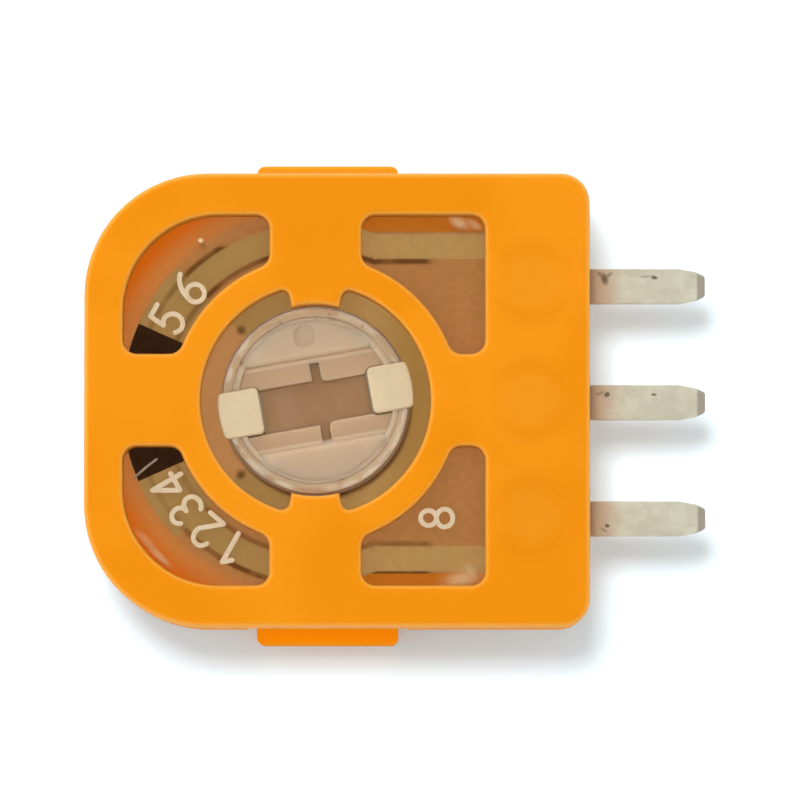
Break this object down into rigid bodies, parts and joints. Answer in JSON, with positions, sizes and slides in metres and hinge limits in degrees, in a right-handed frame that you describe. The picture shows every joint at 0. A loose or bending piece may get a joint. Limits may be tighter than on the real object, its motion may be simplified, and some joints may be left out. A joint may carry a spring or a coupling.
{
  "type": "joystick potentiometer",
  "caption": "Clip-on rotary potentiometer of an analog joystick module: flat orange housing with windows over a carbon-track board, turning drive hub, and solder pins.",
  "frame": {"origin": "on the rotor's axis, in the plane of the housing's back rim, which seats on the joystick module's frame", "axes": "+Z along the rotor's axis and out of the outer face, +X towards the solder pins, +Y across the row of pins"},
  "size_m": [0.0133, 0.0104, 0.0037],
  "materials": {
    "housing_plastic": "satin, slightly translucent moulded plastic",
    "board": "glossy, translucent amber",
    "coat": "matt print",
    "carbon": "matt carbon ink",
    "silver_print": "matt conductive ink",
    "tinned_metal": "dull tin plate",
    "rivet_metal": "tinned",
    "hub_plastic": "glossy, milky and translucent",
    "carrier_plastic": "satin",
    "wiper_metal": "bright spring metal"
  },
  "bodies": {
    "body": {"housing": "housing_plastic", "resistor_board": "board", "insulating_coat": "coat", "carbon_track": "carbon", "lead_trace_1": "silver_print", "lead_trace_3": "silver_print", "collector_trace": "silver_print", "terminal_1": "tinned_metal", "terminal_2": "tinned_metal", "terminal_3": "tinned_metal", "rivet_1": "rivet_metal", "rivet_2": "rivet_metal", "rivet_3": "rivet_metal"},
    "rotor": {"drive_hub": "hub_plastic", "wiper_carrier": "carrier_plastic", "wiper": "wiper_metal"}
  },
  "joints": [
    {"name": "rotor_turn", "type": "hinge", "parent": "body", "child": "rotor", "pos_m": [0, 0, 0], "axis": [0, 0, 1], "range_deg": [-70, 50]}
  ]
}
